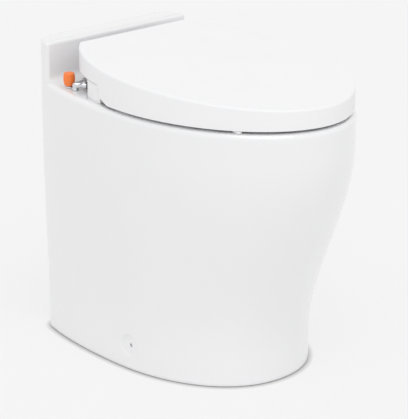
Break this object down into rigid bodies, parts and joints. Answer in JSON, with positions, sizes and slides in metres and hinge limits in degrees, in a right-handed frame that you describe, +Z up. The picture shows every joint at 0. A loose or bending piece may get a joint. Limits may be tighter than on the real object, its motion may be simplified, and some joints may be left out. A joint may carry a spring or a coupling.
{
  "type": "electric marine toilet",
  "caption": "Freestanding one-piece china toilet with a low backrest, a lid and seat on a bidet base, and an electric macerator pump under the bowl.",
  "frame": {"origin": "centre of the bounding box on the floor", "axes": "+Z up, -Y the way the sitter faces, +X to the sitter's left hand; the water fitting with the orange plug is on the -X side"},
  "size_m": [0.3714, 0.545, 0.5116],
  "materials": {
    "glazed_china": "white vitreous china, glossy glaze",
    "white_seat_plastic": "white satin-gloss moulded plastic",
    "white_base_plastic": "white satin moulded plastic",
    "white_pad_rubber": "white soft bumper",
    "chrome": "polished chrome plate",
    "orange_plastic": "orange moulded plastic",
    "black_rubber": "matt black rubber",
    "black_plastic": "black moulded plastic",
    "grey_plastic": "grey moulded plastic",
    "stainless": "stainless steel",
    "painted_motor": "black paint on steel",
    "copper": "copper windings on a steel core, as one solid",
    "clear_hose": "milky flexible hose"
  },
  "bodies": {
    "toilet": {"bidet_base": "white_base_plastic", "bidet_cover": "white_base_plastic", "china_pedestal": "glazed_china", "control_module": "black_plastic", "deck_bolt_left": "stainless", "deck_bolt_right": "stainless", "deck_nut_left": "white_base_plastic", "deck_nut_right": "white_base_plastic", "deck_washer_left": "black_rubber", "deck_washer_right": "black_rubber", "discharge_elbow": "black_plastic", "discharge_tail": "black_plastic", "discharge_union": "black_plastic", "duckbill_valve": "black_rubber", "feed_hose": "clear_hose", "floor_bracket_left": "stainless", "floor_bracket_right": "stainless", "hinge_pin_left": "stainless", "hinge_pin_right": "stainless", "inlet_union": "chrome", "macerator_housing": "black_plastic", "motor_can": "painted_motor", "motor_end_cap": "black_plastic", "motor_lead": "black_rubber", "motor_strap_front": "stainless", "motor_strap_rear": "stainless", "nozzle_guide": "grey_plastic", "outlet_sleeve": "black_rubber", "pump_adapter": "black_plastic", "pump_cradle": "stainless", "rinse_hose": "clear_hose", "rinse_nozzle": "grey_plastic", "rinse_nut": "grey_plastic", "rinse_valve": "white_base_plastic", "service_bracket": "stainless", "shaft_seal": "black_rubber", "side_screw_left": "stainless", "side_screw_right": "stainless", "sleeve_clamp_lower": "stainless", "sleeve_clamp_upper": "stainless", "sump_sleeve": "black_rubber", "valve_coil": "black_plastic", "valve_lead": "black_rubber", "water_fitting": "chrome"},
    "lid_body": {"lid": "white_seat_plastic", "lid_pads_front_left": "white_pad_rubber", "lid_pads_front_right": "white_pad_rubber"},
    "seat_body": {"seat_ring": "white_seat_plastic", "seat_pads_front_left": "white_pad_rubber", "seat_pads_front_right": "white_pad_rubber", "seat_pads_rear_left": "white_pad_rubber", "seat_pads_rear_right": "white_pad_rubber"},
    "lever": {"valve_lever": "chrome"},
    "plug": {"orange_plug": "orange_plastic"},
    "spray_wand": {"bidet_nozzle": "grey_plastic"},
    "rotor": {"motor_shaft": "stainless", "macerator_cutter": "stainless", "impeller": "black_plastic", "motor_armature": "copper"},
    "plunger": {"valve_plunger": "stainless"}
  },
  "joints": [
    {"name": "seat_hinge", "type": "hinge", "parent": "toilet", "child": "seat_body", "pos_m": [0, 0.1765, 0.474], "axis": [-1, 0, 0], "range_deg": [0, 100]},
    {"name": "lid_hinge", "type": "hinge", "parent": "seat_body", "child": "lid_body", "pos_m": [0, 0.1765, 0.474], "axis": [1, 0, 0], "range_deg": [-100, 0]},
    {"name": "lever_turn", "type": "hinge", "parent": "toilet", "child": "lever", "pos_m": [-0.13999, 0.14715, 0.4588], "axis": [0, 0, 1], "range_deg": [0, 90]},
    {"name": "plug_pull", "type": "slide", "parent": "toilet", "child": "plug", "axis": [0, 0, 1], "range_m": [0, 0.007]},
    {"name": "wand_slide", "type": "slide", "parent": "toilet", "child": "spray_wand", "axis": [0, -0.9945, -0.1045], "range_m": [0, 0.045], "stiffness_N_per_m": 15, "springref_m": -0.012},
    {"name": "rotor_spin", "type": "hinge", "parent": "toilet", "child": "rotor", "pos_m": [0, 0, 0.078], "axis": [0, 1, 0], "continuous": true},
    {"name": "plunger_slide", "type": "slide", "parent": "toilet", "child": "plunger", "axis": [0, 0, 1], "range_m": [0, 0.003], "stiffness_N_per_m": 300, "springref_m": -0.002}
  ]
}
